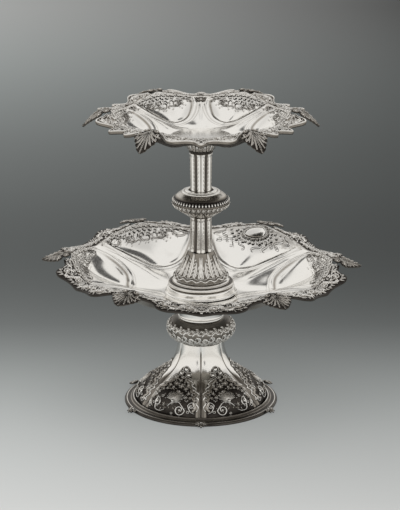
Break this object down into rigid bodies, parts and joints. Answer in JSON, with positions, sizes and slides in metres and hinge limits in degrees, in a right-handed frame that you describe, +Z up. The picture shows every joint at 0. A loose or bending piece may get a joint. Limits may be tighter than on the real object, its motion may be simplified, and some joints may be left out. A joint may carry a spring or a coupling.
{
  "type": "table centerpiece",
  "caption": "Two-tier silver table centrepiece: lobed footed bowl carrying a ribbed stem and a lobed upper dish, with cast leaf borders.",
  "frame": {"origin": "centre of the foot's underside, on the table", "axes": "+Z up the stem; one lobe of each bowl points along +X, the front faces -Y"},
  "size_m": [0.4226, 0.3806, 0.4011],
  "materials": {
    "polished_silver": "hand-polished sterling silver sheet",
    "chased_silver": "chased sterling silver with oxidised ground",
    "cast_silver": "cast sterling silver borders, oxidised in the recesses",
    "steel": "plain turned steel fastening"
  },
  "bodies": {
    "pedestal": {"foot_rim_moulding": "polished_silver", "rim_boss_1": "cast_silver", "rim_boss_2": "cast_silver", "rim_boss_3": "cast_silver", "rim_boss_4": "cast_silver", "rim_boss_5": "cast_silver", "rim_boss_6": "cast_silver", "foot_dome": "chased_silver", "clamp_plate": "steel", "knop_lower": "chased_silver", "knop_upper": "chased_silver", "bowl_collet": "polished_silver", "lower_bowl": "polished_silver", "bowl_seat": "polished_silver", "lower_border_section_1": "cast_silver", "lower_border_section_2": "cast_silver", "lower_border_section_3": "cast_silver", "lower_border_section_4": "cast_silver", "lower_border_section_5": "cast_silver", "lower_border_section_6": "cast_silver", "lower_border_leaf_1": "cast_silver", "lower_border_leaf_2": "cast_silver", "lower_border_leaf_3": "cast_silver", "lower_border_leaf_4": "cast_silver", "lower_border_leaf_5": "cast_silver", "lower_border_leaf_6": "cast_silver"},
    "upper_stage": {"stem_foot_ring": "polished_silver", "stem_foot": "chased_silver", "lower_stem": "polished_silver", "collar_calyx": "chased_silver", "collar_lower": "chased_silver", "collar_upper": "polished_silver", "upper_stem": "polished_silver", "stem_capital": "chased_silver", "upper_dish": "polished_silver", "upper_border_section_1": "cast_silver", "upper_border_section_2": "cast_silver", "upper_border_section_3": "cast_silver", "upper_border_section_4": "cast_silver", "upper_border_section_5": "cast_silver", "upper_border_section_6": "cast_silver", "upper_border_leaf_1": "cast_silver", "upper_border_leaf_2": "cast_silver", "upper_border_leaf_3": "cast_silver", "upper_border_leaf_4": "cast_silver", "upper_border_leaf_5": "cast_silver", "upper_border_leaf_6": "cast_silver", "dish_boss": "steel", "tie_rod": "steel"},
    "clamp_washer": {"clamp_washer": "steel"},
    "wing_nut": {"wing_nut": "steel"}
  },
  "joints": [
    {"name": "upper_stage_lift", "type": "slide", "parent": "pedestal", "child": "upper_stage", "axis": [0, 0, 1], "range_m": [0, 0.1]},
    {"name": "nut_travel", "type": "slide", "parent": "pedestal", "child": "clamp_washer", "axis": [0, 0, -1], "range_m": [0, 0.009]},
    {"name": "nut_turn", "type": "hinge", "parent": "clamp_washer", "child": "wing_nut", "pos_m": [0, 0, 0.075], "axis": [0, 0, -1], "range_deg": [0, 2160]}
  ],
  "couplings": [
    {"joint": "nut_travel", "follows": "nut_turn", "m_per_rad": 0.00023873}
  ]
}
